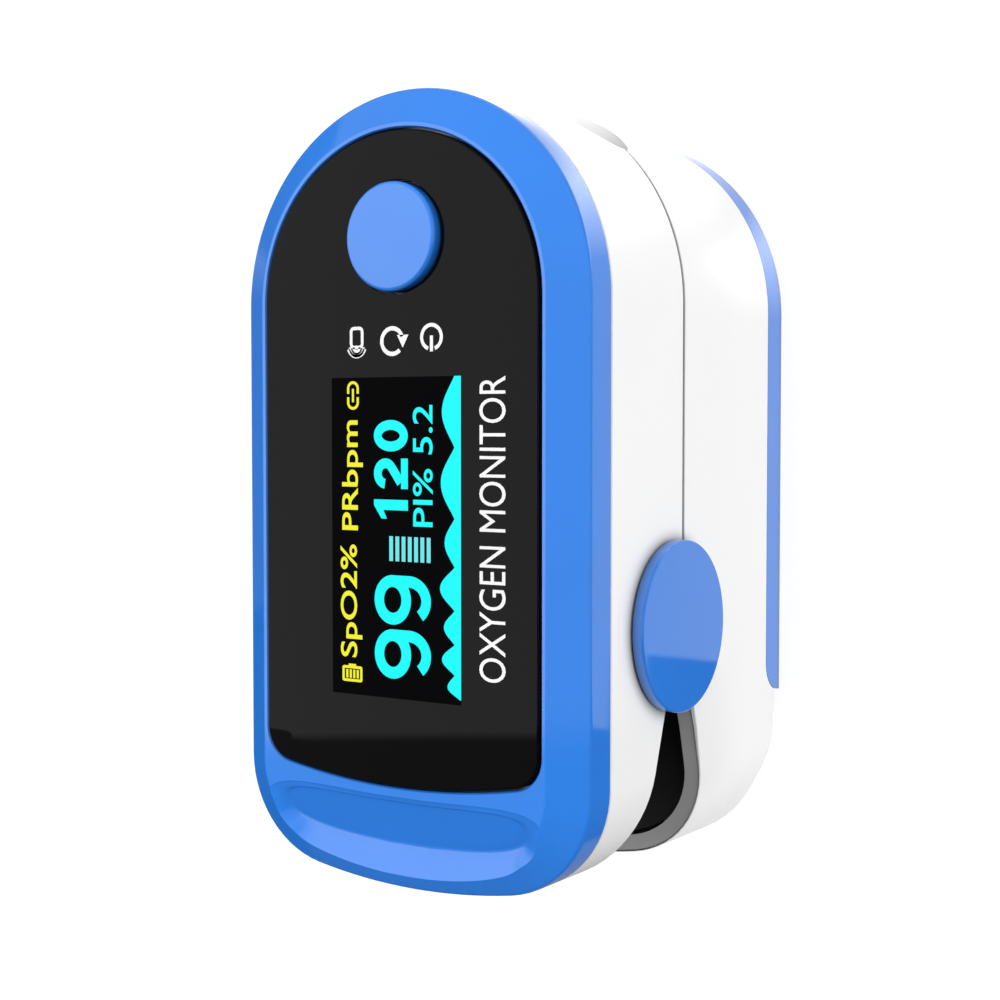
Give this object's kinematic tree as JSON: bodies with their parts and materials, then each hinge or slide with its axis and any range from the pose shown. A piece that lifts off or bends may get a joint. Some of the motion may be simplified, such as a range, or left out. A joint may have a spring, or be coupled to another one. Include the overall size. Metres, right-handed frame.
{
  "type": "fingertip pulse oximeter",
  "caption": "Spring clip for a fingertip in two hinged halves, with a lit display and power button on one half and a battery cover on the other.",
  "frame": {"origin": "middle of the clip's length and width, on the outer face of the battery cover that it lies on", "axes": "+Z out of the display, +Y from the finger mouth to the tail that is squeezed, X along the hinge shaft"},
  "size_m": [0.0322, 0.0577, 0.0328],
  "materials": {
    "blue_plastic": "glossy moulded blue",
    "white_plastic": "satin moulded white",
    "window_black": "glossy black acrylic",
    "black_plastic": "matte black",
    "grey_plastic": "matte grey",
    "pad_rubber": "soft silicone",
    "screen_glass": "black screen glass",
    "flex": "amber polyimide film",
    "board": "green solder mask",
    "chip": "moulded epoxy",
    "steel": "bright steel",
    "ferrite": "ferrite",
    "lens": "clear epoxy",
    "battery_wrap": "printed film",
    "ribbon": "grey flat cable"
  },
  "bodies": {
    "battery_half": {"lower_shell": "white_plastic", "lower_liner": "grey_plastic", "battery_tray": "black_plastic", "lower_finger_pad": "pad_rubber", "detector_board": "board", "detector_lens": "lens", "link_ribbon": "ribbon", "left_battery": "battery_wrap", "right_battery": "battery_wrap", "mouth_bridge_contact": "steel", "mouth_contact_spring": "steel", "tail_plus_contact": "steel", "tail_minus_contact": "steel", "tail_contact_spring": "steel", "left_lower_screw": "steel", "right_lower_screw": "steel", "hinge_shaft": "steel", "left_hinge_cap": "blue_plastic", "right_hinge_cap": "blue_plastic", "left_torsion_spring": "steel", "right_torsion_spring": "steel"},
    "display_half": {"front_frame": "blue_plastic", "display_window": "window_black", "oled_screen": "screen_glass", "screen_flex": "flex", "main_board": "board", "microcontroller": "chip", "sensor_amplifier": "chip", "clock_crystal": "steel", "boost_coil": "ferrite", "power_switch": "chip", "upper_shell": "white_plastic", "upper_liner": "black_plastic", "upper_finger_pad": "pad_rubber", "emitter_board": "board", "emitter_lens": "lens", "left_upper_screw": "steel", "right_upper_screw": "steel"},
    "button": {"power_button": "blue_plastic"},
    "plunger": {"switch_plunger": "grey_plastic"},
    "cover": {"battery_cover": "blue_plastic"}
  },
  "joints": [
    {"name": "clip_hinge", "type": "hinge", "parent": "battery_half", "child": "display_half", "pos_m": [0, 0.00996, 0.01873], "axis": [-1, 0, 0], "range_deg": [0, 22], "stiffness_Nm_per_rad": 0.25, "springref_deg": -20.05, "deforming": ["left_torsion_spring", "right_torsion_spring", "link_ribbon"]},
    {"name": "button_press", "type": "slide", "parent": "display_half", "child": "button", "axis": [0, 0, -1], "range_m": [0, 0.0003], "stiffness_N_per_m": 4000, "springref_m": -0.0002},
    {"name": "plunger_press", "type": "slide", "parent": "display_half", "child": "plunger", "axis": [0, 0, -1], "range_m": [0, 0.0003]},
    {"name": "cover_slide", "type": "slide", "parent": "battery_half", "child": "cover", "axis": [0, -1, 0], "range_m": [0, 0.03]}
  ],
  "couplings": [
    {"joint": "plunger_press", "follows": "button_press", "ratio": 1}
  ]
}
